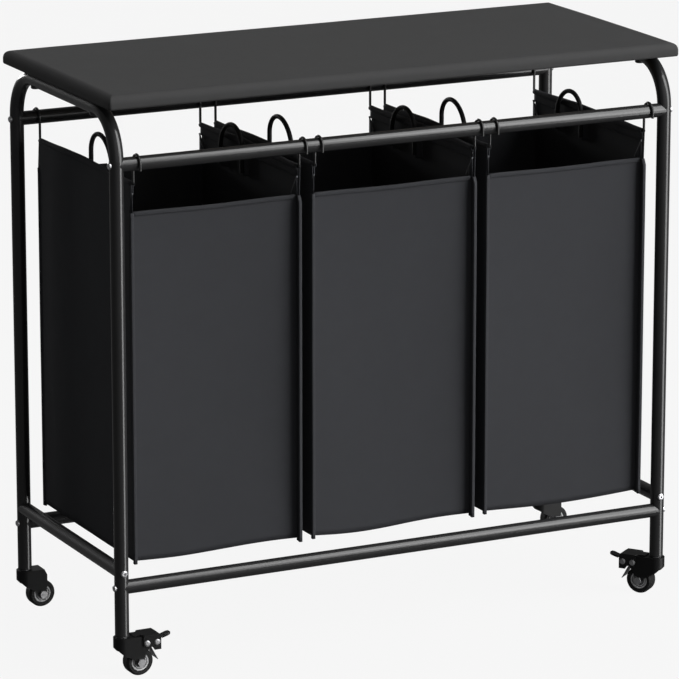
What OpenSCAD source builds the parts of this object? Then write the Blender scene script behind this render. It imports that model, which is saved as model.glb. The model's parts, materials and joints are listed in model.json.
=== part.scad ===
// Three-bag laundry cart with a padded ironing board on top.
// X runs along the cart, Y from front to back, Z up. The origin is on the floor
// under the middle of the frame. Sizes are in millimetres.

/* [Frame] */
// Distance between the centrelines of the two side frames
frame_l = 813; // [790:1:900]
// Distance between the front and rear leg centrelines
frame_w = 334; // [330:1:400]
// Height of the top tubes' centreline
frame_h = 755; // [752:1:820]
// Outer diameter of the frame tubes
tube_d = 19; // [18:0.5:20]
// Wall thickness of the frame tubes
tube_wall = 1; // [0.8:0.1:1.5]
// Centreline radius of the bends in the side frames
bend_r = 60; // [50:1:62]
// Height of the lower ends of the legs
leg_bottom_z = 57.5; // [57:0.5:60]
// Height of the upper rails' centreline, which carry the bags
bag_rail_z = 690; // [680:1:692]
// Height of the lower rails' centreline
low_rail_z = 122.5; // [115:0.5:125]
// Height of the side crossbars' centreline
crossbar_z = 143.5; // [141:0.5:146]

/* [Ironing board] */
// Length of the covered board
board_l = 842; // [835:0.5:930]
// Width of the covered board
board_w = 361; // [358:1:430]
// Thickness of the covered board
board_t = 19.5; // [18:0.5:24]
// Radius of the board's corners in plan
board_corner_r = 4; // [3:0.5:40]
// Thickness of the rigid core
core_t = 12; // [10:0.5:13]

/* [Bags] */
// Distance between the centres of neighbouring bags
bag_pitch = 261; // [261:1:280]
// How far the bags hang to the right of the cart's middle
bag_offset = 2; // [-4:0.5:4]
// Outer length of a bag along the cart
bag_l = 242; // [236:1:243]
// Outer depth of a bag from front to back
bag_w = 313; // [308:1:313]
// Height of the bags' bottom
bag_bottom_z = 151; // [148:1:160]
// Height of the front and rear panels' top edge
bag_front_z = 622; // [600:1:630]
// Thickness of the bag fabric
fabric_t = 1.4; // [1:0.1:2]
// Width of the sewn strips along the bag's edges
binding_w = 7; // [5:0.5:10]

/* [Hook wires] */
// Diameter of the wire that carries a side panel
wire_d = 3.5; // [3:0.1:4]
// Distance of each wire from the middle of its bag
wire_x = 119; // [117:0.5:119]
// Height of the wire inside the panel's sleeve
wire_z = 660; // [650:1:662]
// Gap between the hook and the rail that it hangs on
hook_gap = 0.3; // [0.3:0.05:0.5]
// Length of the straight tip outside the rail
hook_tip = 8; // [4:1:12]

/* [Handles] */
// Diameter of the cord loops sewn to the side panels
handle_d = 6.5; // [5:0.5:8]
// Distance between the two legs of a loop
handle_w = 68; // [60:1:80]
// Rise of the left loops above the wire
handle_rise_left = 42; // [35:1:45]
// Rise of the right loops above the wire
handle_rise_right = 22; // [20:1:45]
// Depth to which the loops are sewn below the wire
handle_drop = 38; // [30:1:60]
// Place of the left loops from front to back
handle_left_y = -36; // [-60:1:60]
// Place of the right loops from front to back
handle_right_y = 40; // [-60:1:60]

/* [Casters] */
// Diameter of the wheels
wheel_d = 38; // [36:1:40]
// Width of the wheels
wheel_w = 18; // [16:1:18]
// Distance from the swivel axis to the wheel's axle
trail = 22; // [20:1:24]
// Diameter of the axle
axle_d = 6; // [5:0.5:6]
// Direction in which each caster trails, in the order of CORNERS
trail_angles = [0, 127.3, 0, 0];

/* [Brakes] */
// Distance from the swivel axis to the brake pedal's pivot
pedal_pivot_x = 30; // [29:0.5:31]
// Height of the brake pedal's pivot
pedal_pivot_z = 45; // [44:0.5:46]
// Distance from the swivel axis to the pedal's tip
pedal_tip_x = 69; // [66:1:72]

/* [Fasteners] */
// Diameter of the frame screws' heads
screw_head_d = 9; // [8:0.5:10]
// Diameter of the board screws' heads
board_screw_head_d = 13; // [10:0.5:15]
// Diameter of the screw shanks
screw_d = 4.9; // [4:0.1:5]

/* [Hidden] */
$fn = 64;
fit_gap = 0.05;
run_gap = 0.05;
tube_r = tube_d / 2;
bore_d = tube_d - 2 * tube_wall;
screw_hole_d = screw_d + 0.3;
leg_x = frame_l / 2;
leg_y = frame_w / 2;

board_z = frame_h + tube_r;
board_top_z = board_z + board_t;
cover_t = 1.5;
cover_lip_w = 32;
cover_lip_t = 1;
core_z = board_z + cover_lip_t + fit_gap;
board_screw_y = 99;
board_screw_l = 16;

hook_r = tube_r + hook_gap + wire_d / 2;
wire_bend_r = 4;
wire_end_y = leg_y - hook_r;
sleeve_d = wire_d + 3.4;
sleeve_l = 2 * (wire_end_y - wire_bend_r) - 12;
panel_top_z = wire_z - 1;
panel_slope_y = 14;
handle_x = wire_x - sleeve_d / 2 - handle_d / 2 - 0.2;

insert_l = 16;
screw_l = 16;
head_t = 2.2;
socket_d = 3.4;

hub_d = 25;
hub_w = wheel_w - 2;
cheek_y = 10;
cheek_t = 2;
housing_r = cheek_y + cheek_t;
housing_top_z = 54.5;
housing_plate_t = 2;
pin_d = 6;
axle_z = wheel_d / 2;
lobe_r = 5.8;
nut_af = 10;
nut_t = 3;
pedal_inner_y = housing_r + 0.4;
pedal_t = 1.5;
pedal_pin_d = 4;
pedal_gap = 0.4;
pedal_tab_w = 11;
rivet_head_d = 8.2;
leaf_rivet_x = pedal_pivot_x + 14.5;

CORNERS = ["front_left", "front_right", "rear_left", "rear_right"];
CORNER_SIGNS = [[-1, -1], [1, -1], [-1, 1], [1, 1]];
BRAKED = [0, 1];
BAGS = ["left", "middle", "right"];
FRAME_NODES = [
    "left_side_frame", "right_side_frame", "left_crossbar", "right_crossbar",
    "front_upper_rail", "rear_upper_rail", "front_lower_rail", "rear_lower_rail",
    "rail_inserts", "crossbar_inserts", "leg_sockets", "caster_stems",
    "rail_screws", "crossbar_screws", "board_screws",
    "board_core", "board_pad", "board_cover"
];

// ---------------------------------------------------------------- frame

// The sweep of one side frame: two legs, two bends and the top tube, filled to diameter d.
module side_sweep(d, below = 0) {
    for (side = [-1, 1]) {
        translate([0, side * leg_y, leg_bottom_z - below])
            cylinder(h = frame_h - bend_r - leg_bottom_z + below, d = d);
        translate([0, side * (leg_y - bend_r), frame_h - bend_r])
            rotate([90, 0, side * 90])
            rotate_extrude(angle = 90)
            translate([bend_r, 0])
            circle(d = d);
    }
    translate([0, 0, frame_h])
        rotate([90, 0, 0])
        cylinder(h = 2 * (leg_y - bend_r), d = d, center = true);
}

// Both side frames as filled sweeps, used to shape the ends of the rails against them.
module both_side_sweeps(d) {
    for (side = [-1, 1])
        translate([side * leg_x, 0, 0]) side_sweep(d);
}

module side_frame(side) {
    color("#1c1c1e")
    translate([side * leg_x, 0, 0])
    difference() {
        side_sweep(tube_d);
        side_sweep(bore_d, below = 1);
        for (y = [-leg_y, leg_y], z = [low_rail_z, bag_rail_z])
            translate([0, y, z])
                rotate([0, 90, 0]) cylinder(h = 2 * tube_d, d = screw_hole_d, center = true);
        for (y = [-leg_y, leg_y])
            translate([0, y, crossbar_z])
                rotate([90, 0, 0]) cylinder(h = 2 * tube_d, d = screw_hole_d, center = true);
        for (y = [-board_screw_y, board_screw_y])
            translate([0, y, frame_h])
                cylinder(h = 2 * tube_d, d = screw_hole_d, center = true);
    }
}

module tube(l) {
    linear_extrude(l, center = true)
    difference() {
        circle(d = tube_d);
        circle(d = bore_d);
    }
}

module rail(y, z) {
    color("#1c1c1e")
    difference() {
        translate([0, y, z]) rotate([0, 90, 0]) tube(frame_l);
        both_side_sweeps(tube_d + 2 * fit_gap);
    }
}

module crossbar(side) {
    color("#1c1c1e")
    difference() {
        translate([side * leg_x, 0, crossbar_z]) rotate([90, 0, 0]) tube(frame_w);
        both_side_sweeps(tube_d + 2 * fit_gap);
    }
}

// A threaded plastic plug inside a tube's end, along +X from the coped end.
module insert() {
    rotate([0, 90, 0])
    difference() {
        cylinder(h = insert_l, d = bore_d - 2 * fit_gap);
        translate([0, 0, -1]) cylinder(h = insert_l + 2, d = screw_d + 2 * fit_gap);
    }
}

module rail_inserts() {
    color("#2a2a2c")
    for (x = [-1, 1], y = [-leg_y, leg_y], z = [low_rail_z, bag_rail_z])
        translate([x * (leg_x - tube_r - 2 * fit_gap), y, z])
            rotate([0, 0, x > 0 ? 180 : 0]) insert();
}

module crossbar_inserts() {
    color("#2a2a2c")
    for (x = [-leg_x, leg_x], y = [-1, 1])
        translate([x, y * (leg_y - tube_r - 2 * fit_gap), crossbar_z])
            rotate([0, 0, y > 0 ? -90 : 90]) insert();
}

// A plug in the lower end of each leg, bored for the caster's stem.
module leg_sockets() {
    color("#202022")
    for (x = [-leg_x, leg_x], y = [-leg_y, leg_y])
        translate([x, y, leg_bottom_z])
        difference() {
            union() {
                translate([0, 0, -1.5]) cylinder(h = 1.5, d = tube_d);
                cylinder(h = 26, d = bore_d - 2 * fit_gap);
            }
            translate([0, 0, -2]) cylinder(h = 30, d = 8 + 2 * fit_gap);
        }
}

// Each stem is fixed in its leg, and ends below in the kingpin that the housing turns on.
module caster_stems() {
    kingpin_z = housing_top_z - housing_plate_t - 3;
    color("#b8b9bc")
    for (x = [-leg_x, leg_x], y = [-leg_y, leg_y])
        translate([x, y, 0]) {
            translate([0, 0, leg_bottom_z - 1.6]) cylinder(h = 24, d = 8);
            translate([0, 0, housing_top_z + 0.2]) cylinder(h = 1.2, d = 15);
            translate([0, 0, kingpin_z]) cylinder(h = housing_top_z - kingpin_z + 1.2, d = pin_d);
            translate([0, 0, kingpin_z - 1.5]) cylinder(h = 1.5 + 2.8, d = 9.5);
        }
}

// ---------------------------------------------------------------- screws

// A pan-head screw along +X with its head's seat at the origin.
module screw(l, head_d = screw_head_d) {
    rotate([0, 90, 0])
    difference() {
        union() {
            translate([0, 0, -1.2]) cylinder(h = 2.6, d = head_d);
            translate([0, 0, -head_t]) cylinder(h = 1, d1 = head_d - 2.6, d2 = head_d);
            cylinder(h = tube_d + l, d = screw_d);
        }
        translate([0, 0, -head_t - 1]) cylinder(h = 2.4, d = socket_d, $fn = 6);
    }
}

module rail_screws() {
    color("#c9cacc")
    difference() {
        for (x = [-1, 1], y = [-leg_y, leg_y], z = [low_rail_z, bag_rail_z])
            translate([x * (leg_x + tube_r), y, z])
                rotate([0, 0, x > 0 ? 180 : 0]) screw(screw_l);
        screw_seats();
    }
}

// The tubes' outer skin, cut from the heads so that they sit on the round tube.
module screw_seats() {
    difference() {
        both_side_sweeps(tube_d + 2 * fit_gap);
        for (x = [-leg_x, leg_x], y = [-leg_y, leg_y]) {
            for (z = [low_rail_z, bag_rail_z])
                translate([x, y, z])
                    rotate([0, 90, 0]) cylinder(h = 2 * tube_d, d = screw_hole_d, center = true);
            translate([x, y, crossbar_z])
                rotate([90, 0, 0]) cylinder(h = 2 * tube_d, d = screw_hole_d, center = true);
        }
        for (x = [-leg_x, leg_x], y = [-board_screw_y, board_screw_y])
            translate([x, y, frame_h])
                cylinder(h = 2 * tube_d, d = screw_hole_d, center = true);
    }
}

module crossbar_screws() {
    color("#c9cacc")
    difference() {
        for (x = [-leg_x, leg_x], y = [-1, 1])
            translate([x, y * (leg_y + tube_r), crossbar_z])
                rotate([0, 0, y > 0 ? -90 : 90]) screw(screw_l);
        screw_seats();
    }
}

module board_screws() {
    color("#3a3a3c")
    difference() {
        for (x = [-leg_x, leg_x], y = [-board_screw_y, board_screw_y])
            translate([x, y, frame_h - tube_r])
                rotate([0, -90, 0]) screw(board_screw_l - tube_r, board_screw_head_d);
        screw_seats();
    }
}

// ---------------------------------------------------------------- ironing board

module round_plate(l, w, r, t) {
    linear_extrude(t)
    union() {
        square([l - 2 * r, w], center = true);
        square([l, w - 2 * r], center = true);
        for (x = [-1, 1], y = [-1, 1])
            translate([x * (l / 2 - r), y * (w / 2 - r)]) circle(r = r);
    }
}

module board_holes(d, z, h) {
    for (x = [-leg_x, leg_x], y = [-board_screw_y, board_screw_y])
        translate([x, y, z]) cylinder(h = h, d = d);
}

module board_core() {
    inset = cover_t + fit_gap;
    color("#8d7a5e")
    difference() {
        translate([0, 0, core_z])
            round_plate(board_l - 2 * inset, board_w - 2 * inset, board_corner_r - inset, core_t);
        board_holes(screw_d + 2 * fit_gap, core_z - 1, core_t);
    }
}

module board_pad() {
    inset = cover_t + fit_gap;
    pad_z = core_z + core_t + fit_gap;
    color("#b9b7b0")
    translate([0, 0, pad_z])
        round_plate(
            board_l - 2 * inset, board_w - 2 * inset, board_corner_r - inset,
            board_top_z - cover_t - fit_gap - pad_z
        );
}

// The cover wraps the board's top and edges, and turns under it as a lip.
module board_cover() {
    color("#424244")
    difference() {
        translate([0, 0, board_z]) round_plate(board_l, board_w, board_corner_r, board_t);
        translate([0, 0, board_z + cover_lip_t])
            round_plate(
                board_l - 2 * cover_t, board_w - 2 * cover_t, board_corner_r - cover_t,
                board_t - cover_lip_t - cover_t
            );
        translate([0, 0, board_z - 1])
            round_plate(
                board_l - 2 * cover_lip_w, board_w - 2 * cover_lip_w, board_corner_r, 3
            );
        board_holes(screw_hole_d, board_z - 1, 4);
    }
}

// ---------------------------------------------------------------- bags

function bag_x(i) = (i - 1) * bag_pitch + bag_offset;

// The outline of a side panel, seen along X.
module side_outline() {
    polygon([
        [-bag_w / 2, bag_bottom_z],
        [bag_w / 2, bag_bottom_z],
        [bag_w / 2, bag_front_z],
        [bag_w / 2 - panel_slope_y, panel_top_z],
        [-bag_w / 2 + panel_slope_y, panel_top_z],
        [-bag_w / 2, bag_front_z]
    ]);
}

// The five panels: the side panels stand higher than the front and rear ones.
module bag_panels() {
    void_h = panel_top_z - bag_bottom_z;
    difference() {
        rotate([90, 0, 90]) linear_extrude(bag_l, center = true) side_outline();
        translate([0, 0, bag_bottom_z + fabric_t + void_h / 2])
            cube([bag_l - 2 * fabric_t, bag_w - 2 * fabric_t, void_h], center = true);
        translate([0, 0, bag_front_z + panel_slope_y * 2.5])
            cube([bag_l - 2 * sleeve_d, bag_w + 2, panel_slope_y * 5], center = true);
    }
}

module bag(i) {
    color("#3c3d40")
    translate([bag_x(i), 0, 0])
    difference() {
        union() {
            bag_panels();
            for (x = [-wire_x, wire_x])
                translate([x, 0, wire_z])
                    rotate([90, 0, 0]) cylinder(h = sleeve_l, d = sleeve_d, center = true);
        }
        for (x = [-wire_x, wire_x])
            translate([x, 0, wire_z])
                rotate([90, 0, 0]) cylinder(h = bag_w + 2, d = wire_d + 0.3, center = true);
    }
}

// Narrow strips sewn over the top edges and down the corners of the front and rear panels.
module bag_binding(i) {
    strip_t = 0.9;
    strip_h = bag_front_z - bag_bottom_z - binding_w;
    color("#2d2e31")
    translate([bag_x(i), 0, 0])
    for (side = [-1, 1]) {
        y = side * (bag_w / 2 + strip_t / 2);
        translate([0, y, bag_front_z - binding_w / 2])
            cube([bag_l, strip_t, binding_w], center = true);
        for (x = [-1, 1])
            translate([x * (bag_l - binding_w) / 2, y, bag_bottom_z + strip_h / 2])
                cube([binding_w, strip_t, strip_h], center = true);
    }
}

// One cord loop standing up from a side panel, centred on the origin of Y at height 0.
module handle_loop(rise) {
    bend = handle_w / 2;
    for (side = [-1, 1])
        translate([0, side * bend, -handle_drop])
            cylinder(h = handle_drop + rise - bend, d = handle_d, $fn = 32);
    translate([0, 0, rise - bend])
        rotate([90, 0, 90])
        rotate_extrude(angle = 180)
        translate([bend, 0])
        circle(d = handle_d, $fn = 32);
}

module bag_handles(i) {
    color("#161617")
    translate([bag_x(i), 0, wire_z]) {
        translate([-handle_x, handle_left_y, 0]) handle_loop(handle_rise_left);
        translate([handle_x, handle_right_y, 0]) handle_loop(handle_rise_right);
    }
}

// A quarter bend of wire in the YZ plane, from angle a over 90 degrees, with radius r.
module wire_arc(r, a, sweep) {
    rotate([90, 0, 90])
    rotate([0, 0, a])
    rotate_extrude(angle = sweep)
    translate([r, 0])
    circle(d = wire_d, $fn = 32);
}

// The wire runs through the sleeve, turns up inside each rail and hooks over it.
module hook_wire(i, side) {
    run_l = 2 * (wire_end_y - wire_bend_r);
    rise_l = bag_rail_z - wire_z - wire_bend_r;
    color("#1a1a1b")
    translate([bag_x(i) + side * wire_x, 0, 0]) {
        translate([0, 0, wire_z])
            rotate([90, 0, 0]) cylinder(h = run_l, d = wire_d, center = true, $fn = 32);
        for (end = [0, 180])
            rotate([0, 0, end]) {
                translate([0, wire_end_y - wire_bend_r, wire_z + wire_bend_r])
                    wire_arc(wire_bend_r, -90, 90);
                translate([0, wire_end_y, wire_z + wire_bend_r])
                    cylinder(h = rise_l, d = wire_d, $fn = 32);
                translate([0, leg_y, bag_rail_z]) wire_arc(hook_r, 0, 180);
                translate([0, leg_y + hook_r, bag_rail_z - hook_tip])
                    cylinder(h = hook_tip, d = wire_d, $fn = 32);
            }
    }
}

// ---------------------------------------------------------------- casters

module at_corner(i) {
    translate([CORNER_SIGNS[i][0] * leg_x, CORNER_SIGNS[i][1] * leg_y, 0])
        rotate([0, 0, trail_angles[i]]) children();
}

function is_braked(i) = len(search(i, BRAKED)) > 0;

// The plan of the stamped housing: round at the stem and straight towards the wheel.
module housing_plan(half_w, l) {
    circle(r = half_w);
    translate([0, -half_w]) square([l, 2 * half_w]);
}

// The side view of the housing: it narrows to a lobe that carries the axle.
module housing_side(l, tail_z, slope_h) {
    polygon([
        [-housing_r - 1, housing_top_z],
        [-housing_r - 1, 42],
        [-3.5, 32.5],
        [trail - 9.3, axle_z + 4.5],
        [trail - 4.6, axle_z - 3.5],
        [trail + 5.6, axle_z - 1.5],
        [trail + 5.2, axle_z + 5.2],
        [min(trail + 7.8, l), 31.7],
        [l, tail_z],
        [l, housing_top_z - slope_h],
        [l - 4, housing_top_z]
    ]);
    translate([trail, axle_z]) circle(r = lobe_r);
}

module caster_housing(i) {
    l = is_braked(i) ? pedal_pivot_x + 4.5 : trail + 6.3;
    tail_z = is_braked(i) ? 37 : 36;
    slope_h = is_braked(i) ? 2 : 8;
    color("#171718")
    at_corner(i)
    difference() {
        intersection() {
            difference() {
                linear_extrude(housing_top_z) housing_plan(housing_r, l);
                translate([0, 0, -1])
                    linear_extrude(housing_top_z - housing_plate_t + 1)
                    housing_plan(cheek_y, l + 1);
            }
            rotate([90, 0, 0])
                linear_extrude(4 * housing_r, center = true)
                housing_side(l, tail_z, slope_h);
        }
        cylinder(h = 2 * housing_top_z, d = pin_d + 2 * run_gap);
        translate([trail, 0, axle_z])
            rotate([90, 0, 0]) cylinder(h = 4 * housing_r, d = axle_d + 2 * fit_gap, center = true);
        if (is_braked(i))
            translate([pedal_pivot_x, 0, pedal_pivot_z])
                rotate([90, 0, 0])
                cylinder(h = 4 * housing_r, d = pedal_pin_d + 2 * fit_gap, center = true);
    }
}

module axle(i) {
    color("#c4c5c8")
    at_corner(i)
    translate([trail, 0, axle_z])
    rotate([90, 0, 0]) {
        cylinder(h = 2 * housing_r + 2, d = axle_d, center = true);
        for (side = [-1, 1])
            translate([0, 0, side * (housing_r + nut_t / 2)])
                cylinder(h = nut_t, d = nut_af / cos(30), center = true, $fn = 6);
    }
}

// A ring-shaped groove in one face of the hub.
module face_groove(side, inner_d, outer_d, depth) {
    translate([0, 0, side * hub_w / 2])
    difference() {
        cylinder(h = 2 * depth, d = outer_d, center = true);
        cylinder(h = 2 * depth + 1, d = inner_d, center = true);
    }
}

// Two grooves in each face leave a rim, a ring and a boss.
module hub(i) {
    color("#8b8c90")
    at_corner(i)
    translate([trail, 0, axle_z])
    rotate([90, 0, 0])
    difference() {
        cylinder(h = hub_w, d = hub_d, center = true);
        for (side = [-1, 1]) {
            face_groove(side, 18, 20, 1);
            face_groove(side, 12.4, 15, 1.5);
        }
        cylinder(h = 2 * hub_w, d = axle_d + 2 * run_gap, center = true);
    }
}

module tyre(i) {
    shoulder = 2.8;
    color("#151516")
    at_corner(i)
    translate([trail, 0, axle_z])
    rotate([90, 0, 0])
    rotate_extrude($fn = 96)
    polygon([
        [hub_d / 2, -wheel_w / 2],
        [wheel_d / 2 - shoulder, -wheel_w / 2],
        [wheel_d / 2, -wheel_w / 2 + shoulder],
        [wheel_d / 2, wheel_w / 2 - shoulder],
        [wheel_d / 2 - shoulder, wheel_w / 2],
        [hub_d / 2, wheel_w / 2]
    ]);
}

// ---------------------------------------------------------------- brakes

// The pedal seen along the pivot: a flat top plate, and a tab that drops and then rises.
module pedal_side() {
    under_z = housing_top_z + pedal_gap;
    top_z = under_z + 1.2;
    polygon([
        [13, under_z],
        [pedal_pivot_x + 4, under_z],
        [46, 53],
        [50.5, 50.6],
        [55.5, 46.4],
        [pedal_tip_x - 1, 49.9],
        [pedal_tip_x, 51],
        [pedal_tip_x - 0.2, 52.4],
        [pedal_tip_x - 1.5, 53],
        [56, 49.4],
        [51.5, 53.4],
        [47.5, top_z],
        [13, top_z]
    ]);
}

// The pedal seen from above: narrow at the stem, as wide as its cheeks, then the round tab.
module pedal_plan() {
    half_w = pedal_inner_y + pedal_t;
    tab_r = pedal_tab_w / 2;
    polygon([
        [12, -8],
        [22, -8],
        [26, -half_w],
        [50.3, -half_w],
        [56, -tab_r],
        [pedal_tip_x - tab_r, -tab_r],
        [pedal_tip_x - tab_r, tab_r],
        [56, tab_r],
        [50.3, half_w],
        [26, half_w],
        [22, 8],
        [12, 8]
    ]);
    translate([pedal_tip_x - tab_r, 0]) circle(r = tab_r);
}

// The cheek beside the housing, which the pivot pin goes through, and the box behind it.
module pedal_cheek() {
    translate([pedal_pivot_x, pedal_pivot_z]) circle(r = 5.4);
    polygon([
        [pedal_pivot_x - 5, housing_top_z + 1],
        [pedal_pivot_x - 5, pedal_pivot_z],
        [pedal_pivot_x + 3, pedal_pivot_z - 4.6],
        [38.3, 38.6],
        [41, 34.5],
        [50.3, 34.5],
        [50.3, 52],
        [47.5, housing_top_z + 1]
    ]);
}

module brake_pedal(i) {
    outer_w = 2 * (pedal_inner_y + pedal_t);
    color("#141415")
    at_corner(i)
    difference() {
        union() {
            intersection() {
                rotate([90, 0, 0]) linear_extrude(outer_w, center = true) pedal_side();
                linear_extrude(2 * housing_top_z) pedal_plan();
            }
            for (side = [-1, 1])
                translate([0, side * (pedal_inner_y + pedal_t / 2), 0])
                    rotate([90, 0, 0]) linear_extrude(pedal_t, center = true) pedal_cheek();
        }
        translate([pedal_pivot_x, 0, pedal_pivot_z])
            rotate([90, 0, 0])
            cylinder(h = 2 * outer_w, d = pedal_pin_d + 2 * run_gap, center = true);
        translate([leaf_rivet_x, 0, pedal_pivot_z])
            rotate([90, 0, 0])
            cylinder(h = 2 * outer_w, d = pedal_pin_d + 2 * fit_gap, center = true);
    }
}

// A rivet across the caster with a domed head outside each cheek.
module cross_rivet(x) {
    half_l = pedal_inner_y + pedal_t + run_gap;
    translate([x, 0, pedal_pivot_z])
    rotate([90, 0, 0]) {
        cylinder(h = 2 * half_l, d = pedal_pin_d, center = true);
        for (side = [0, 180])
            rotate([side, 0, 0]) {
                translate([0, 0, half_l]) cylinder(h = 0.8, d = rivet_head_d);
                translate([0, 0, half_l + 0.8])
                    cylinder(h = 0.8, d1 = rivet_head_d, d2 = rivet_head_d - 3);
            }
    }
}

module pedal_pin(i) {
    color("#b9babd") at_corner(i) cross_rivet(pedal_pivot_x);
}

module leaf_rivet(i) {
    color("#b9babd") at_corner(i) cross_rivet(leaf_rivet_x);
}

// The sprung steel leaf curls round the rear rivet and hangs behind the tyre.
module brake_leaf(i) {
    leaf_w = 2 * (cheek_y - 1);
    leaf_t = 0.9;
    color("#7d7e82")
    at_corner(i)
    rotate([90, 0, 0])
    linear_extrude(leaf_w, center = true) {
        translate([leaf_rivet_x, pedal_pivot_z])
        difference() {
            circle(d = pedal_pin_d + 2 * fit_gap + 2 * leaf_t);
            circle(d = pedal_pin_d + 2 * fit_gap);
        }
        polygon([
            [leaf_rivet_x - 2.4, pedal_pivot_z + 0.8],
            [36.3, 38.6],
            [42.6, 27],
            [47, 19.2],
            [47.8, 19.6],
            [43.5, 27.4],
            [37.6, 38.6],
            [leaf_rivet_x - 1.8, pedal_pivot_z - 1]
        ]);
    }
}

side_frame(-1);  // left_side_frame
side_frame(1);  // right_side_frame
crossbar(-1);  // left_crossbar
crossbar(1);  // right_crossbar
rail(-leg_y, bag_rail_z);  // front_upper_rail
rail(leg_y, bag_rail_z);  // rear_upper_rail
rail(-leg_y, low_rail_z);  // front_lower_rail
rail(leg_y, low_rail_z);  // rear_lower_rail
rail_inserts();
crossbar_inserts();
leg_sockets();
caster_stems();
rail_screws();
crossbar_screws();
board_screws();
board_core();
board_pad();
board_cover();
for (i = [0:2]) {
    bag(i);
    bag_binding(i);
    bag_handles(i);
    hook_wire(i, -1);
    hook_wire(i, 1);
}
for (i = [0:3]) {
    caster_housing(i);
    axle(i);
    hub(i);
    tyre(i);
}
for (i = BRAKED) {
    brake_pedal(i);
    brake_leaf(i);
    pedal_pin(i);
    leaf_rivet(i);
}
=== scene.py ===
"""Looks of the three-bag laundry cart with an ironing board top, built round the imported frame."""

import json
import math

import bpy
import numpy as np
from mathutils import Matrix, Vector, noise


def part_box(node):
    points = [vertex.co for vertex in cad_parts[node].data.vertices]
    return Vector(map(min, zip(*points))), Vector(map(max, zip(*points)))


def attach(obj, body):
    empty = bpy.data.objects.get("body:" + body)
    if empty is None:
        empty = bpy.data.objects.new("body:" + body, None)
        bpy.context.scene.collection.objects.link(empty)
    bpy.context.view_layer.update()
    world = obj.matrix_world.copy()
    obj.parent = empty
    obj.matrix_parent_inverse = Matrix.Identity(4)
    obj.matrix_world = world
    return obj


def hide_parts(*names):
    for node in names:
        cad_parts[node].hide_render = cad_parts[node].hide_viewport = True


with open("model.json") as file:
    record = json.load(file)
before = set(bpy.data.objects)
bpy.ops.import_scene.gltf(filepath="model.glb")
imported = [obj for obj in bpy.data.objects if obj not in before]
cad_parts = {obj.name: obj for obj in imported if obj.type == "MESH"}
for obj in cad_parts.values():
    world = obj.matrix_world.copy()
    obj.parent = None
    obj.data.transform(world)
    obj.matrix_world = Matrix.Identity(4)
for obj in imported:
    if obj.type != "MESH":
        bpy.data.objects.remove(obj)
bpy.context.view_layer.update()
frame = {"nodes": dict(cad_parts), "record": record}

BAGS = ("left", "middle", "right")
MM = 0.001


# ---------------------------------------------------------------- camera, lights and stage

CAMERA_AZIMUTH = math.radians(-26.35)
CAMERA_ELEVATION = math.radians(14.36)
CAMERA_DISTANCE = 6.232
CAMERA_AIM = Vector((-0.0038, 0.0, 0.3752))
CAMERA_LENS = 240.9
LIGHT_AIM = Vector((0.0, 0.0, 0.4))

# each is the value for all other light, then the value for the camera's own rays
FLOOR_ALBEDO = (0.05, 0.02)
FLOOR_GLOW = (0.03, 0.908)
STUDIO_GLOW = (0.1, 1.0)


def direction(azimuth, elevation):
    """The unit vector from the cart towards a place at that azimuth and elevation."""
    return Vector(
        (
            math.sin(azimuth) * math.cos(elevation),
            -math.cos(azimuth) * math.cos(elevation),
            math.sin(elevation),
        )
    )


def make_camera():
    data = bpy.data.cameras.new("camera")
    data.lens = CAMERA_LENS
    data.sensor_width = 36.0
    data.clip_end = 60.0
    camera = bpy.data.objects.new("camera", data)
    bpy.context.scene.collection.objects.link(camera)
    towards = direction(CAMERA_AZIMUTH, CAMERA_ELEVATION)
    camera.location = CAMERA_AIM + towards * CAMERA_DISTANCE
    camera.rotation_mode = "QUATERNION"
    camera.rotation_quaternion = (-towards).to_track_quat("-Z", "Y")
    bpy.context.scene.camera = camera


def area_light(name, azimuth, elevation, distance, size, power):
    """A soft box that faces the cart, size[0] wide and size[1] high."""
    data = bpy.data.lights.new(name, "AREA")
    data.shape = "RECTANGLE"
    data.size, data.size_y = size
    data.energy = power
    light = bpy.data.objects.new(name, data)
    bpy.context.scene.collection.objects.link(light)
    towards = direction(math.radians(azimuth), math.radians(elevation))
    light.location = LIGHT_AIM + towards * distance
    light.rotation_mode = "QUATERNION"
    light.rotation_quaternion = (-towards).to_track_quat("-Z", "Y")


def seen_by_camera(tree, others, camera):
    """A value that is one thing for the camera's own rays and another for all light."""
    path = tree.nodes.new("ShaderNodeLightPath")
    chosen = tree.nodes.new("ShaderNodeMix")
    chosen.data_type = "FLOAT"
    chosen.inputs["A"].default_value = others
    chosen.inputs["B"].default_value = camera
    tree.links.new(path.outputs["Is Camera Ray"], chosen.inputs["Factor"])
    return chosen.outputs["Result"]


def make_floor():
    """A pale floor that is bright to look at, throws little light back, and lets the tall
    softbox, which reaches below it, shine on the tubes."""
    bpy.ops.mesh.primitive_plane_add(size=60.0)
    floor = bpy.context.object
    floor.name = "floor"
    floor.visible_glossy = False
    floor.visible_shadow = False
    material = bpy.data.materials.new("pale_floor")
    material.use_nodes = True
    tree = material.node_tree
    shader = tree.nodes["Principled BSDF"]
    shader.inputs["Roughness"].default_value = 1.0
    shader.inputs["Specular IOR Level"].default_value = 0.0
    shader.inputs["Emission Color"].default_value = (1.0, 1.0, 1.0, 1.0)
    tree.links.new(seen_by_camera(tree, *FLOOR_ALBEDO), shader.inputs["Base Color"])
    tree.links.new(seen_by_camera(tree, *FLOOR_GLOW), shader.inputs["Emission Strength"])
    floor.data.materials.append(material)


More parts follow.
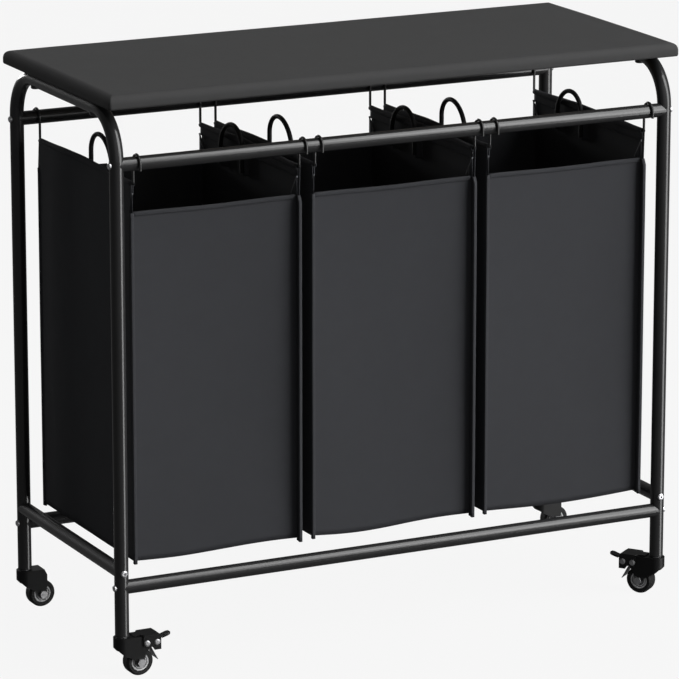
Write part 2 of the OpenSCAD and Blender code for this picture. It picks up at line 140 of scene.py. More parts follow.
def make_studio():
    """A tall key light for the panels and legs, a strip for the rails, and three soft fills."""
    area_light("key_softbox", 46, 21, 4.2, (2.4, 8.1), 290)
    area_light("rail_strip", 28, 23.5, 12.0, (2.1, 8.0), 175)
    area_light("front_fill", -8, 18, 5.0, (5.0, 4.0), 14)
    area_light("top_softbox", -20, 84, 4.0, (3.4, 2.6), 28)
    area_light("back_fill", 182, 6, 9.0, (5.0, 2.0), 200)

    world = bpy.data.worlds.new("studio")
    bpy.context.scene.world = world
    world.use_nodes = True
    background = world.node_tree.nodes["Background"]
    background.inputs["Color"].default_value = (0.92, 0.92, 0.92, 1.0)
    strength = seen_by_camera(world.node_tree, *STUDIO_GLOW)
    world.node_tree.links.new(strength, background.inputs["Strength"])
    make_floor()
    bpy.context.scene.view_settings.view_transform = "Standard"


# ---------------------------------------------------------------- materials


class Shader:
    """A node material: one principled shader, and short calls that add to it."""

    def __init__(self, name, color, roughness, **sockets):
        self.material = bpy.data.materials.new(name)
        self.material.use_nodes = True
        self.tree = self.material.node_tree
        self.principled = self.tree.nodes["Principled BSDF"]
        self.color = color
        self.principled.inputs["Base Color"].default_value = (*color, 1.0)
        self.principled.inputs["Roughness"].default_value = roughness
        for socket, value in sockets.items():
            self.principled.inputs[socket.replace("_", " ")].default_value = value
        self.coordinates = self.tree.nodes.new("ShaderNodeTexCoord").outputs["Object"]
        self.height = None

    def node(self, kind, **inputs):
        made = self.tree.nodes.new(kind)
        for socket, value in inputs.items():
            made.inputs[socket.replace("_", " ")].default_value = value
        return made

    def noise(self, scale, detail=3.0, roughness=0.55, stretch=(1.0, 1.0, 1.0)):
        """Noise in object space, scale given in features per metre."""
        mapping = self.node("ShaderNodeMapping", Scale=stretch)
        texture = self.node("ShaderNodeTexNoise", Scale=scale, Detail=detail, Roughness=roughness)
        self.tree.links.new(self.coordinates, mapping.inputs["Vector"])
        self.tree.links.new(mapping.outputs["Vector"], texture.inputs["Vector"])
        return texture.outputs["Fac"]

    def combine(self, operation, a, b):
        """The result of a math node on two sockets or numbers."""
        made = self.tree.nodes.new("ShaderNodeMath")
        made.operation = operation
        for socket, value in zip(made.inputs, (a, b)):
            if isinstance(value, (int, float)):
                socket.default_value = value
            else:
                self.tree.links.new(value, socket)
        return made.outputs[0]

    def remap(self, value, low, high, start=0.0, end=1.0):
        made = self.node(
            "ShaderNodeMapRange", From_Min=start, From_Max=end, To_Min=low, To_Max=high
        )
        self.tree.links.new(value, made.inputs["Value"])
        return made.outputs["Result"]

    def vary_color(self, value, darker, lighter, start=0.3, end=0.7):
        """The base colour goes from darker to lighter as value goes from start to end."""
        ramp = self.tree.nodes.new("ShaderNodeValToRGB")
        stops = zip(ramp.color_ramp.elements, (start, end), (darker, lighter))
        for element, place, factor in stops:
            element.position = place
            element.color = (*(min(1.0, c * factor) for c in self.color), 1.0)
        self.tree.links.new(value, ramp.inputs["Fac"])
        self.tree.links.new(ramp.outputs["Color"], self.principled.inputs["Base Color"])

    def vary_roughness(self, value, low, high):
        rough = self.remap(value, low, high, 0.3, 0.7)
        self.tree.links.new(rough, self.principled.inputs["Roughness"])

    def bump(self, value, depth, strength=1.0):
        """Adds a bump of that depth in metres under the ones already there."""
        made = self.node("ShaderNodeBump", Strength=strength, Distance=depth)
        self.tree.links.new(value, made.inputs["Height"])
        if self.height is not None:
            self.tree.links.new(self.height, made.inputs["Normal"])
        self.height = made.outputs["Normal"]
        self.tree.links.new(self.height, self.principled.inputs["Normal"])

    def weave(self, pitch):
        """A plain weave: threads of that pitch crossing in all three planes of the object."""
        split = self.node("ShaderNodeSeparateXYZ")
        self.tree.links.new(self.coordinates, split.inputs["Vector"])
        waves = []
        for axis in "XYZ":
            turns = self.combine("MULTIPLY", split.outputs[axis], 2 * math.pi / pitch)
            waves.append(self.combine("SINE", turns, 0.0))
        pairs = [self.combine("MULTIPLY", waves[i], waves[(i + 1) % 3]) for i in range(3)]
        return self.combine("ADD", self.combine("ADD", pairs[0], pairs[1]), pairs[2])


def powder_coat(name, color, roughness=0.6, gloss=0.16, coat=1.0):
    """Black stoved paint on steel: a satin base under a glossy skin, with faint orange peel."""
    made = Shader(
        name, color, roughness,
        Specular_IOR_Level=0.2, Coat_Weight=coat, Coat_Roughness=gloss, Coat_IOR=1.5,
    )
    made.vary_roughness(made.noise(14, 4), roughness - 0.04, roughness + 0.05)
    made.vary_color(made.noise(30, 3), 0.9, 1.1)
    made.bump(made.noise(1400, 2), 0.00002, 0.1)
    return made.material


def moulded_plastic(name, color, roughness=0.5):
    made = Shader(name, color, roughness, Specular_IOR_Level=0.4)
    made.vary_roughness(made.noise(60, 3), roughness - 0.06, roughness + 0.08)
    made.bump(made.noise(1500, 2), 0.00004, 0.4)
    return made.material


def plated_steel(name, color, roughness=0.28):
    """Zinc plating: metallic, with fine brushed streaks and a cloudy finish."""
    made = Shader(name, color, roughness, Metallic=1.0)
    made.vary_roughness(made.noise(300, 4), roughness - 0.08, roughness + 0.12)
    made.vary_color(made.noise(180, 3), 0.8, 1.08)
    made.bump(made.noise(1200, 2, stretch=(1.0, 1.0, 8.0)), 0.00003, 0.3)
    return made.material


def rubber(name, color):
    made = Shader(name, color, 0.62, Specular_IOR_Level=0.35)
    made.vary_roughness(made.noise(120, 4), 0.52, 0.72)
    made.vary_color(made.noise(90, 4), 0.8, 1.35)
    made.bump(made.noise(1400, 3), 0.00006, 0.5)
    return made.material


def cloth(name, color, pitch, roughness=0.82, sheen=0.12, mottle=(0.97, 1.03)):
    """Woven cloth: crossing threads, slubs along them and a soft sheen."""
    made = Shader(
        name, color, roughness,
        Sheen_Weight=sheen, Sheen_Roughness=0.5, Specular_IOR_Level=0.22,
    )
    made.vary_color(made.noise(45, 5, 0.65), *mottle)
    made.bump(made.noise(260, 4, 0.6), 0.00008, 0.2)
    made.bump(made.weave(pitch), 0.00006, 0.35)
    return made.material


def fibreboard(name, color):
    made = Shader(name, color, 0.75, Specular_IOR_Level=0.2)
    made.vary_color(made.noise(420, 6, 0.75), 0.7, 1.25)
    made.bump(made.noise(500, 5, 0.7), 0.0002, 0.6)
    return made.material


def make_materials():
    return {
        "frame_tube": powder_coat("black_powder_coat", (0.015, 0.015, 0.0155)),
        "plug_plastic": moulded_plastic("black_plug_plastic", (0.012, 0.012, 0.013)),
        "screw": plated_steel("zinc_screw", (0.8, 0.8, 0.82), 0.38),
        "dark_screw": powder_coat("blackened_screw", (0.02, 0.02, 0.021), 0.5, 0.4),
        "bright_steel": plated_steel("zinc_plate", (0.5, 0.5, 0.51), 0.5),
        "board_core": fibreboard("fibreboard", (0.33, 0.24, 0.15)),
        "pad_foam": cloth("felt", (0.4, 0.39, 0.36), 0.0015, 0.95),
        "board_cover": cloth("board_cover_cloth", (0.0555, 0.0555, 0.056), 0.0011, 0.88, 0.0),
        "bag_fabric": cloth("bag_cloth", (0.0432, 0.0444, 0.0493), 0.0009, 0.88, 0.0),
        "bag_binding": cloth("binding_tape", (0.05, 0.0515, 0.057), 0.0007, 0.85, 0.0),
        # gusset edge tape, about four times lighter than the bag cloth: a painted highlight on a line
        # that sits in shade
        "seam_tape": cloth("seam_tape", (0.17, 0.174, 0.185), 0.0007, 0.85, 0.0),
        "handle_cord": cloth("handle_cord_sheath", (0.007, 0.007, 0.0075), 0.0012, 0.6, 0.05),
        "hook_wire": powder_coat("coated_wire", (0.012, 0.012, 0.0125), 0.5, 0.25),
        "caster_housing": powder_coat("caster_coat", (0.0065, 0.0065, 0.0068), 0.5, 0.3, 0.18),
        "wheel_hub": moulded_plastic("grey_nylon", (0.3, 0.3, 0.305), 0.45),
        "hub_ring": moulded_plastic("light_nylon", (0.8, 0.8, 0.81), 0.4),
        "tyre": rubber("black_tyre", (0.011, 0.011, 0.011)),
        "pedal": powder_coat("pedal_coat", (0.0065, 0.0065, 0.0068), 0.5, 0.2, 0.4),
        "spring_steel": plated_steel("spring_steel", (0.3, 0.3, 0.31), 0.32),
    }


def paint_frame(materials):
    """Gives every CAD node the material of its slot."""
    slots = {s["node"]: s["material_slot"] for s in frame["record"]["subparts"]}
    for name, node in frame["nodes"].items():
        node.data.materials.clear()
        node.data.materials.append(materials[slots[name]])


# ---------------------------------------------------------------- mesh helpers


def new_piece(name, vertices, faces, material, body):
    """A mesh piece in the row frame, shaded smooth, that rides on a CAD body."""
    mesh = bpy.data.meshes.new(name)
    mesh.from_pydata([tuple(v) for v in vertices], [], [tuple(f) for f in faces])
    mesh.validate()
    mesh.shade_smooth()
    piece = bpy.data.objects.new(name, mesh)
    bpy.context.scene.collection.objects.link(piece)
    mesh.materials.append(material)
    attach(piece, body)
    return piece


def grid_faces(rows, columns, wrap=False, start=0):
    """Quads of a grid of vertices that starts at index start, joined round each row if wrap."""
    faces = []
    for i in range(rows - 1):
        for j in range(columns if wrap else columns - 1):
            k = (j + 1) % columns
            faces.append(
                (
                    start + i * columns + j,
                    start + i * columns + k,
                    start + (i + 1) * columns + k,
                    start + (i + 1) * columns + j,
                )
            )
    return faces


def apply_modifiers(piece):
    bpy.context.view_layer.update()
    evaluated = piece.evaluated_get(bpy.context.evaluated_depsgraph_get())
    mesh = bpy.data.meshes.new_from_object(evaluated)
    piece.modifiers.clear()
    piece.data = mesh


def thicken(piece, thickness, offset=-1.0):
    """Makes a sheet into a closed thin wall."""
    made = piece.modifiers.new("thickness", "SOLIDIFY")
    made.thickness = thickness
    made.offset = offset
    apply_modifiers(piece)


def smooth_path(points, per_span=8, closed=False):
    """Points along a Catmull-Rom curve through the given ones."""
    points = [Vector(p) for p in points]
    count = len(points)
    made = []
    spans = count if closed else count - 1
    for i in range(spans):
        a, b, c, d = (
            points[k % count] if closed else points[min(max(k, 0), count - 1)]
            for k in (i - 1, i, i + 1, i + 2)
        )
        for step in range(per_span):
            t = step / per_span
            made.append(
                0.5
                * (
                    2 * b
                    + (c - a) * t
                    + (2 * a - 5 * b + 4 * c - d) * t**2
                    + (3 * b - a - 3 * c + d) * t**3
                )
            )
    if not closed:
        made.append(points[-1])
    return made


def sweep(path, outline, across):
    """Rings of a 2-D outline carried along a path, with the outline's first axis near across."""
    across = Vector(across)
    vertices = []
    for i, point in enumerate(path):
        tangent = (path[min(i + 1, len(path) - 1)] - path[max(i - 1, 0)]).normalized()
        first = (across - tangent * across.dot(tangent)).normalized()
        second = tangent.cross(first)
        vertices += [point + first * u + second * v for u, v in outline]
    return vertices


def rod(name, path, outline, across, material, body):
    """A solid piece: an outline swept along a path, with closed ends."""
    vertices = sweep(path, outline, across)
    sides, rings = len(outline), len(path)
    faces = grid_faces(rings, sides, wrap=True)
    faces.append(tuple(reversed(range(sides))))
    faces.append(tuple(range((rings - 1) * sides, rings * sides)))
    return new_piece(name, vertices, faces, material, body)


def ring_outline(radius, sides=12, flatten=1.0):
    turns = [2 * math.pi * i / sides for i in range(sides)]
    return [(radius * math.cos(a), radius * flatten * math.sin(a)) for a in turns]


def tape_outline(width, thickness, corner_r=None):
    """The section of a folded tape: flat, with fully round edges or with round corners."""
    r = corner_r or thickness / 2
    half_w, half_t = width / 2 - r, thickness / 2 - r
    corners = ((1, -1, -90), (1, 1, 0), (-1, 1, 90), (-1, -1, 180))
    steps = (0, 45, 90)
    outline = []
    for index, (sx, sy, start) in enumerate(corners):
        for step in steps[1:] if half_t < 1e-9 and index in (1, 3) else steps:
            turn = math.radians(start + step)
            outline.append((sx * half_w + r * math.cos(turn), sy * half_t + r * math.sin(turn)))
    return outline


def joined(name, pieces):
    """Several meshes made into one piece."""
    bpy.ops.object.select_all(action="DESELECT")
    for piece in pieces:
        piece.select_set(True)
    bpy.context.view_layer.objects.active = pieces[0]
    bpy.ops.object.join()
    pieces[0].name = name
    return pieces[0]


# ---------------------------------------------------------------- ironing board

# in millimetres, as all sizes from here on
BOARD_CORNER_R = 4.0
LIP_W = 31.0  # how far the cover is turned under the board
FOOT_R = 3.0
WALL_Z = 8.0  # where the upright edge ends and the roll over the felt starts
ROLL_W = 11.0
TOP_INSET = 174
CORE_INSET, CORE_Z, CORE_TOP = 1.6, 1.1, 13.1


def rounded_rectangle(half_x, half_y, radius, per_corner=10, per_side=(40, 16)):
    """Points round a rectangle with round corners, counted the same for every radius."""
    points = []
    corners = ((1, 1, 0), (-1, 1, 90), (-1, -1, 180), (1, -1, 270))
    for index, (sx, sy, start) in enumerate(corners):
        centre = np.array([sx * (half_x - radius), sy * (half_y - radius)])
        for step in range(per_corner + 1):
            turn = math.radians(start + 90 * step / per_corner)
            points.append(centre + radius * np.array([math.cos(turn), math.sin(turn)]))
        following = corners[(index + 1) % 4]
        end = np.array([following[0] * (half_x - radius), following[1] * (half_y - radius)])
        turn = math.radians(start + 90)
        end = end + radius * np.array([math.cos(turn), math.sin(turn)])
        count = per_side[index % 2]
        for step in range(1, count):
            points.append(points[-1] + (end - points[-1]) / (count - step + 1))
    return points


def board_profile(thickness):
    """(inset, height) of the rings of the cover's outer skin, from its lip's edge up to the middle
    of the top, and of its inner skin, back down round the core to the lip's edge."""
    outer = [(inset, 0.0) for inset in (LIP_W, 24.0, 14.0, 6.0)]
    for degrees in (0, 22, 45, 67, 90):
        turn = math.radians(degrees)
        outer.append((FOOT_R * (1 - math.sin(turn)), FOOT_R * (1 - math.cos(turn))))
    for degrees in range(0, 91, 9):
        turn = math.radians(degrees)
        up = (thickness - WALL_Z) * math.sin(turn)
        outer.append((ROLL_W * (1 - math.cos(turn)), WALL_Z + up))
    outer += [(inset, thickness) for inset in (13, 19, 28, 40, 56, 76, 100, 128, 156, TOP_INSET)]
    inner = [(inset, CORE_TOP) for inset in (TOP_INSET, 100, 30, CORE_INSET + 1)]
    inner += [(CORE_INSET, CORE_TOP - 1), (CORE_INSET, CORE_Z), (14.0, CORE_Z), (LIP_W, CORE_Z)]
    return outer, inner


def board_surface(x, y, z, thickness, half_y):
    """Pushes the outer skin out of flat: a soft crown, and shallow waves where the felt settles."""
    crown = 0.1 - 0.8 * (y / half_y) ** 2
    wave = noise.noise(Vector((x * 0.012, y * 0.02, 3.1))) * 0.25
    lift = min(1.0, max(0.0, z / thickness - 0.45) / 0.55)
    return z + (crown + wave) * lift


def make_board_cover(materials):
    """The felt pad in its fitted cover: crowned top, round edges and a lip turned under the board."""
    low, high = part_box("board_cover")
    half_x, half_y = (high.x - low.x) / 2 / MM, (high.y - low.y) / 2 / MM
    thickness = (high.z - low.z) / MM
    outer, inner = board_profile(thickness)
    vertices = []
    for index, (inset, z) in enumerate(outer + inner):
        outside = index < len(outer)
        corner_r = max(BOARD_CORNER_R - inset, 0.8)
        ring = rounded_rectangle(half_x - inset, half_y - inset, corner_r)
        for k, (x, y) in enumerate(ring):
            height = board_surface(x, y, z, thickness, half_y) if outside else z
            if outside and index < 3:
                ruffle = (3 - index) / 3 * 0.5 * (1 + math.sin(k * 2.1) * math.sin(k * 0.7))
                height += ruffle
            vertices.append((x * MM, y * MM, low.z + height * MM))
    columns, rows = len(ring), len(outer) + len(inner)
    top_end, inner_start = (len(outer) - 1) * columns, len(outer) * columns
    faces = grid_faces(len(outer), columns, wrap=True)
    faces += grid_faces(len(inner), columns, wrap=True, start=inner_start)
    faces.append(tuple(range(top_end, top_end + columns)))
    faces.append(tuple(reversed(range(inner_start, inner_start + columns))))
    last = (rows - 1) * columns
    for j in range(columns):
        k = (j + 1) % columns
        faces.append((last + j, last + k, k, j))
    cover = new_piece(
        "padded_board_cover", vertices, faces, materials["board_cover"], "frame"
    )
    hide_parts("board_cover", "board_pad")


# ---------------------------------------------------------------- wheels


HUB_FACE = 7.95  # from the wheel's middle to a ring's middle, along the axle
HUB_RINGS = ((11.2, 1.1), (8.25, 0.6))  # each ring's radius and half its width
RING_T = 0.7


def ring_mesh(centre, axis, outward, radius, outline, sides=64):
    """Vertices and faces of a closed ring round an axis, with the outline as its section."""
    vertices = []
    for i in range(sides):
        turn = 2 * math.pi * i / sides
        spoke = outward * math.cos(turn) + axis.cross(outward) * -math.sin(turn)
        vertices += [centre + spoke * (radius + u) + axis * v for u, v in outline]
    faces = grid_faces(sides + 1, len(outline), wrap=True)
    return vertices, [tuple(k % len(vertices) for k in face) for face in faces]


def make_hub_rings(materials):
    """Two raised rings moulded on each face of every wheel's hub."""
    for joint in frame["record"]["behaviour"]["joints"]:
        if not joint["name"].endswith("_wheel_spin"):
            continue
        centre, axis = Vector(joint["pos_m"]), Vector(joint["axis"]).normalized()
        outward = axis.cross(Vector((0, 0, 1)))
        made = []
        for side in (-1, 1):
            middle = centre + axis * side * HUB_FACE * MM
            for radius, half in HUB_RINGS:
                outline = tape_outline(2 * half * MM, RING_T * MM)
                vertices, faces = ring_mesh(middle, axis, outward, radius * MM, outline)
                made.append(
                    new_piece(
                        f"{joint['child']}_ring_{side}_{radius:.0f}", vertices, faces,
                        materials["hub_ring"], joint["child"],
                    )
                )
        joined(f"{joint['child']}_rings", made)


# ---------------------------------------------------------------- bags

CLOTH_T = 1.2
STITCH_PITCH, STITCH_R = 3.4, 0.32
FIN_T = 2.4
FOLD_W, FOLD_T = 5.0, 4.5
HEM_W, HEM_T = 6.0, 1.8
SLEEVE_R, SLEEVE_T = 3.2, 0.7
FACING_W, FACING_T = 13.0, 1.6
GUSSET_W, GUSSET_H, GUSSET_T = 17.0, 26.0, 0.8
CORD_R, LOOP_HALF = 3.2, 34.0
LOOPS = ((-1, -36.0, 42.0, 5.0), (1, 40.0, 22.0, -4.0))  # side, middle, rise and lean of each
PATCH_HALF_W, PATCH_HALF_H, PATCH_T = 11.0, 13.0, 0.8


class Bag:
    """One hanging bag, with its sizes taken from its CAD solids, in millimetres."""

    # how far each front panel's bottom edge sags in its middle, and more on its left half
    SAGS = ((2.6, 1.4), (4.4, 1.9), (5.6, -0.3))

    def __init__(self, name, index):
        self.name, self.body, self.index = name, f"{name}_bag", index
        low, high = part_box(f"{name}_bag")
        wire_low, wire_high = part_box(f"{name}_bag_left_wire")
        wire_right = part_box(f"{name}_bag_right_wire")
        self.x = (low.x + high.x) / 2 / MM
        self.half_y = (high.y - low.y) / 2 / MM
        self.bottom = low.z / MM
        self.wire_r = (wire_high.x - wire_low.x) / 2 / MM
        self.wire_x = (wire_right[0].x + wire_right[1].x) / 2 / MM - self.x
        self.wire_z = wire_low.z / MM + self.wire_r
        self.half_x = self.wire_x + 2.0
        self.panel_x = self.x - 1.5
        self.front_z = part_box(f"{name}_bag_binding")[1].z / MM
        self.seam_y = self.half_y - 5.5
        self.fin_y = {-1: self.half_y - 0.5, 1: self.half_y + 4.2}
        self.edge_y = self.half_y - 0.5

    def ripple(self, a, b, seed, size=1.0):
        """Gentle unevenness of hanging cloth, a and b in millimetres."""
        where = Vector((a * 0.011, b * 0.006, 7.3 * self.index + seed))
        fine = Vector((a * 0.03, b * 0.02, 2.9 * self.index + seed))
        return size * (noise.noise(where) + 0.3 * noise.noise(fine))

    def crown(self, u, power=4.0):
        """1 in the middle of a panel and 0 at its seams, flat between them."""
        return 1 - abs(2 * u - 1) ** power

    def hollow(self, u):
        """How a front panel sinks between its seams: slowly from the left, steeply at the right."""
        deepest = 0.6
        if u < deepest:
            return 1 - ((deepest - u) / deepest) ** 2
        return 1 - ((u - deepest) / (1 - deepest)) ** 2.2

    def bottom_edge(self, u):
        """Height of a front panel's bottom edge, u from its left end to its right end."""
        middle, left = self.SAGS[self.index]
        return self.bottom - middle * math.sin(math.pi * u) - left * math.sin(2 * math.pi * u)

    def top_edge(self, v):
        """Height of a side panel's top edge above the wire, v from front to back."""
        return 2.6 + 3.0 * math.sin(math.pi * v) ** 2 + self.ripple(v * 300, 0, 5.5, 0.8)

    def side_top(self, y):
        """Height of the side panel's upper boundary at y: down to the front panel at its corners."""
        shoulder = self.half_y - 1.5
        reach = self.edge_y - shoulder
        if abs(y) <= shoulder:
            return self.wire_z + self.top_edge((y + shoulder) / (2 * shoulder))
        down = min(1.0, (abs(y) - shoulder) / reach)
        return self.wire_z + 2.6 + (self.front_z - self.wire_z - 2.6) * down**1.6

    def front_point(self, side, u, w):
        """A point of the front (side -1) or rear panel, u from left to right and w from bottom up."""
        x = (2 * u - 1) * (self.half_x - 0.6)
        flip = u if side < 0 else 1 - u
        low = self.bottom_edge(flip)
        dip = 2.0 * math.sin(math.pi * u) ** 2
        z = low + (self.front_z - dip - low) * w
        sunk = 9.0 * self.hollow(flip) * (0.55 + 0.45 * math.sin(math.pi * w))
        sunk -= self.ripple(x, z, 1.0 + side, 0.8) * self.crown(u)
        return (self.panel_x + x, side * (self.seam_y - sunk), z)

    def side_point(self, side, v, w):
        """A point of the left (side -1) or right panel, v from front to back and w from bottom up."""
        s = 2 * v - 1
        z = self.bottom + (self.side_top(s * self.edge_y) - self.bottom) * w
        opened = min(1.0, max(0.0, (z - self.front_z + 12.0) / 12.0))
        y = s * (self.seam_y + (self.edge_y - self.seam_y) * opened)
        full = self.crown(v, 4.0) * math.sin(math.pi * min(1.0, w * 0.97))
        bulge = 1.6 * full + self.ripple(y, z, 11.0 + side, 0.7) * self.crown(v)
        below = min(1.0, max(0.0, (self.wire_z - z) / 30.0))
        x = self.half_x * below + (self.wire_x + self.wire_r + 0.8) * (1 - below)
        middle = self.x + (self.panel_x - self.x) * below
        return (middle + side * (x + bulge * below), y, z)


def crowded(i, count):
    """0 to 1 in count steps that are closer together at both ends."""
    even = i / count
    return 0.25 * even + 0.75 * (0.5 - 0.5 * math.cos(math.pi * even))


def make_bag_panels(bag, materials):
    """The four walls as one sheet round the bag, and the sagging bottom, each made a closed wall."""
    across, deep, high = 40, 48, 60
    vertices = []
    for row in range(high + 1):
        w = row / high
        ring = [bag.front_point(-1, crowded(i, across), w) for i in range(across)]
        ring += [bag.side_point(1, crowded(i, deep), w) for i in range(deep)]
        ring += [bag.front_point(1, 1 - crowded(i, across), w) for i in range(across)]
        ring += [bag.side_point(-1, 1 - crowded(i, deep), w) for i in range(deep)]
        vertices += ring
    columns = len(ring)
    faces = grid_faces(high + 1, columns, wrap=True)
    start = len(vertices)
    for j in range(deep + 1):
        v = crowded(j, deep)
        for i in range(across + 1):
            u = crowded(i, across)
            front, rear = bag.front_point(-1, u, 0.0), bag.front_point(1, u, 0.0)
            sag = 6.0 * bag.crown(u, 2.5) * bag.crown(v, 2.5)
            sag -= bag.ripple(u * 240, v * 300, 21.0, 1.2)
            left, right = bag.side_point(-1, v, 0.0), bag.side_point(1, v, 0.0)
            x = left[0] + (right[0] - left[0]) * u
            y = front[1] + (rear[1] - front[1]) * v
            z = front[2] + (rear[2] - front[2]) * v - sag * bag.crown(u, 8) * bag.crown(v, 8)
            vertices.append((x, y, z))
    faces += [tuple(reversed(f)) for f in grid_faces(deep + 1, across + 1, start=start)]
    vertices = [Vector(v) * MM for v in vertices]
    piece = new_piece(
        f"{bag.name}_bag_cloth", vertices, faces, materials["bag_fabric"], bag.body
    )
    weld = piece.modifiers.new("weld", "WELD")
    weld.merge_threshold = 0.0004
    apply_modifiers(piece)
    thicken(piece, CLOTH_T * MM)
    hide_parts(f"{bag.name}_bag")


def stitches(name, path, material, body, normal):
    """A row of short raised threads along a path."""
    pitch = STITCH_PITCH * MM
    length, places = 0.0, [0.0]
    for a, b in zip(path, path[1:]):
        length += (b - a).length
        places.append(length)
    vertices, faces = [], []
    for i in range(int(length / pitch)):
        ends = []
        for at in ((i + 0.18) * pitch, (i + 0.82) * pitch):
            k = max(0, min(len(path) - 2, int(np.searchsorted(places, at)) - 1))
            span = max(places[k + 1] - places[k], 1e-9)
            ends.append(path[k] + (path[k + 1] - path[k]) * ((at - places[k]) / span))
        along = (ends[1] - ends[0]).normalized()
        side = along.cross(normal).normalized() * STITCH_R * MM
        up = Vector(normal) * STITCH_R * MM
        start = len(vertices)
        for end in ends:
            vertices += [end - side, end + up, end + side, end - up]
        for k in range(4):
            following = (k + 1) % 4
            faces.append((start + k, start + following, start + 4 + following, start + 4 + k))
        faces += [tuple(start + k for k in (3, 2, 1, 0)), tuple(start + 4 + k for k in range(4))]
    return new_piece(name, vertices, faces, material, body)


def fin_reach(bag, across, z):
    """How far out the doubled corner seam stands at height z: it runs into the side panel's edge."""
    closing = min(1.0, max(0.0, (z - bag.front_z + 5.0) / 6.0))
    closing = closing * closing * (3 - 2 * closing)
    return bag.fin_y[across] - (bag.fin_y[across] - bag.edge_y - 0.6) * closing


def make_fin(bag, across, side, materials):
    """A corner seam: the side panel runs on past the front panel as a flat, doubled fin."""
    x = bag.panel_x + across * (bag.half_x - 1.3)
    foot_z = bag.bottom - 3.5
    path_z = [foot_z + (bag.front_z - foot_z) * i / 60 for i in range(61)]
    wander = [bag.ripple(0, z, 40.0 + 3 * across + side, 0.5) for z in path_z]
    fin, fold, thread = [], [], []
    for z, off in zip(path_z, wander):
        reach = fin_reach(bag, across, z)
        inner = bag.seam_y - 2.0
        bend = x + across * off * 0.5
        for a, b in tape_outline(reach - inner, FIN_T, 0.5):
            fin.append(Vector((bend + b, side * ((reach + inner) / 2 + a), z)) * MM)
        for a, b in tape_outline(FOLD_W, FOLD_T, 0.8):
            fold.append(Vector((bend + b, side * (reach - 2.2 + a), z)) * MM)
        thread.append(Vector((bend + across * (FOLD_T / 2 - 0.05), side * (reach - 4.0), z)) * MM)
    sides = len(tape_outline(FOLD_W, FOLD_T, 0.8))
    faces = grid_faces(len(path_z), sides, wrap=True)
    faces.append(tuple(reversed(range(sides))))
    faces.append(tuple(range((len(path_z) - 1) * sides, len(path_z) * sides)))
    tag = f"{bag.name}_{across}_{side}"
    made = [
        new_piece(f"{tag}_fin", fin, faces, materials["bag_fabric"], bag.body),
        new_piece(f"{tag}_fold", fold, faces, materials["bag_binding"], bag.body),
    ]
    made.append(
        stitches(
            f"{tag}_stitch", thread, materials["bag_binding"], bag.body,
            Vector((across, 0, 0)),
        )
    )
    return made


def make_hem(bag, side, materials):
    """The folded and stitched top edge of the front or rear panel."""
    path = []
    for i in range(41):
        x, y, z = bag.front_point(side, 0.012 + 0.976 * i / 40, 1.0)
        path.append(Vector((x, y + side * 0.3, z - 2.4)) * MM)
    hem = rod(
        f"{bag.name}_hem_{side}", path, tape_outline(HEM_W * MM, HEM_T * MM, 0.4 * MM),
        (0, 0, 1), materials["bag_fabric"], bag.body,
    )
    thread = [p + Vector((0, side * 1.15, -1.9)) * MM for p in path]
    row = stitches(
        f"{bag.name}_hem_stitch_{side}", thread, materials["bag_binding"],
        bag.body, Vector((0, side, 0)),
    )
    return [hem, row]


def make_bag_binding(bag, materials):
    """Folded tape over the four corner fins and the front and rear top edges."""
    made = []
    for side in (-1, 1):
        for across in (-1, 1):
            made += make_fin(bag, across, side, materials)
        made += make_hem(bag, side, materials)
    piece = joined(f"{bag.name}_bag_tape", made)
    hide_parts(f"{bag.name}_bag_binding")


def make_bag_sleeves(bag, materials):
    """The fold of each side panel round its wire, with the stitched edge below it."""
    made = []
    length = bag.half_y - 3.5
    for side in (-1, 1):
        x = bag.x + side * bag.wire_x
        path, rings = [], 48
        for i in range(rings + 1):
            y = -length + 2 * length * i / rings
            path.append(Vector((x, y, bag.wire_z + 0.25)) * MM)
        vertices, sides = [], 16
        for i, point in enumerate(path):
            v = i / rings
            for k in range(sides):
                turn = 2 * math.pi * k / sides
                reach = SLEEVE_R + 0.35 * bag.ripple(v * 300, k * 9, 31.0)
                stretch = bag.top_edge(v) / SLEEVE_R if math.sin(turn) > 0 else 1.0
                out, up = reach * math.cos(turn), reach * stretch * math.sin(turn)
                vertices.append(point + Vector((out, 0, up)) * MM)
        faces = grid_faces(rings + 1, sides, wrap=True)
        made.append(
            new_piece(
                f"{bag.name}_sleeve_{side}", vertices, faces, materials["bag_fabric"],
                bag.body,
            )
        )
        thicken(made[-1], SLEEVE_T * MM)
        facing_path = [
            Vector((x - side * 0.4, -length + 2 * length * i / rings, bag.wire_z - 8.0)) * MM
            for i in range(rings + 1)
        ]
        made.append(
            rod(
                f"{bag.name}_facing_{side}", facing_path,
                tape_outline(FACING_W * MM, FACING_T * MM), (0, 0, 1), materials["bag_fabric"],
                bag.body,
            )
        )
        thread = [p + Vector((-side * 1.0, 0, -4.2)) * MM for p in facing_path]
        made.append(
            stitches(
                f"{bag.name}_sleeve_stitch_{side}", thread, materials["bag_binding"],
                bag.body, Vector((-side, 0, 0)),
            )
        )
    joined(f"{bag.name}_bag_sleeves", made)


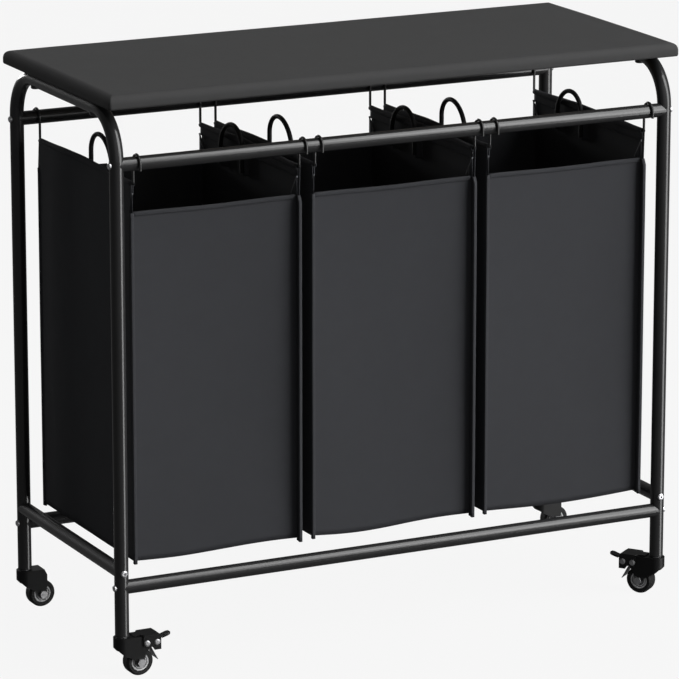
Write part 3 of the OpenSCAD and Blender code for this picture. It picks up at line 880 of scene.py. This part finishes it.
def make_gussets(bag, materials):
    """Triangles of doubled cloth that stiffen the upper corners inside the side panels."""
    made = []
    for side in (-1, 1):
        for end in (-1, 1):
            x = bag.panel_x + side * (bag.half_x - 2.8)
            corner = Vector((x, end * (bag.edge_y - 2.5), bag.front_z)) * MM
            upper = corner + Vector((0, 0, GUSSET_H * MM))
            inner = corner - Vector((0, end * GUSSET_W * MM, 0))
            through = Vector((GUSSET_T / 2 * MM, 0, 0))
            vertices = [p + through * s for s in (-1, 1) for p in (corner, upper, inner)]
            faces = [(0, 1, 2), (5, 4, 3), (0, 3, 4, 1), (1, 4, 5, 2), (2, 5, 3, 0)]
            tag = f"{bag.name}_gusset_{side}_{end}"
            cloth_faces = faces if end > 0 else [tuple(reversed(f)) for f in faces]
            made.append(
                new_piece(
                    tag, vertices, cloth_faces, materials["bag_fabric"], bag.body
                )
            )
            path = [upper + (inner - upper) * i / 8 for i in range(9)]
            # the edge tape's pale colour is a painted highlight; the tape itself lies in shade
            made.append(
                rod(
                    f"{tag}_edge", path, ring_outline(1.2 * MM, 8), (1, 0, 0),
                    materials["seam_tape"], bag.body,
                )
            )
    joined(f"{bag.name}_bag_gussets", made)


def make_bag_handles(bag, materials):
    """Cord loops sewn inside the side panels under a stitched patch."""
    foot_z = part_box(f"{bag.name}_bag_handles")[0].z / MM
    half = LOOP_HALF
    made = []
    for side, centre, rise, lean in LOOPS:
        x = bag.x + side * (bag.wire_x - 7.2)
        spring = bag.wire_z + rise - half
        points = [(x, centre - half, foot_z), (x, centre - half * 1.01, (foot_z + spring) / 2)]
        for i in range(9):
            turn = math.pi * (1 - i / 8)
            y = centre + half * math.cos(turn) + lean * math.sin(turn)
            points.append((x, y, spring + half * math.sin(turn)))
        points += [(x, centre + half * 1.01, (foot_z + spring) / 2), (x, centre + half, foot_z)]
        path = [p * MM for p in smooth_path(points, 7)]
        made.append(
            rod(
                f"{bag.name}_loop_{side}", path, ring_outline(CORD_R * MM, 14), (1, 0, 0),
                materials["handle_cord"], bag.body,
            )
        )
        for foot in (-half, half):
            made.append(make_patch(bag, side, x, centre + foot, foot_z + 9.0, materials))
    piece = joined(f"{bag.name}_bag_loops", made)
    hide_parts(f"{bag.name}_bag_handles")


def make_patch(bag, side, x, y, z, materials):
    """A small fabric patch that holds a cord end to the panel, domed over the cord."""
    rows, columns = 9, 13
    vertices = []
    for i in range(rows):
        for j in range(columns):
            s, t = 2 * j / (columns - 1) - 1, 2 * i / (rows - 1) - 1
            dome = 7.4 * math.exp(-((s * 2.3) ** 2)) * (1 - 0.2 * abs(t)) + 0.4
            depth = bag.half_x - 1.4 - dome
            place = (bag.x + side * depth, y + s * PATCH_HALF_W, z + t * PATCH_HALF_H)
            vertices.append(Vector(place) * MM)
    faces = grid_faces(rows, columns)
    if side > 0:
        faces = [tuple(reversed(f)) for f in faces]
    patch = new_piece(
        f"{bag.name}_patch_{side}_{y:.0f}", vertices, faces, materials["bag_fabric"],
        bag.body,
    )
    thicken(patch, PATCH_T * MM, 1.0)
    return patch


def make_bags(materials):
    for index, name in enumerate(BAGS):
        bag = Bag(name, index)
        make_bag_panels(bag, materials)
        make_bag_binding(bag, materials)
        make_bag_sleeves(bag, materials)
        make_gussets(bag, materials)
        make_bag_handles(bag, materials)


# ---------------------------------------------------------------- build

make_camera()
make_studio()
materials = make_materials()
paint_frame(materials)
make_board_cover(materials)
make_hub_rings(materials)
make_bags(materials)
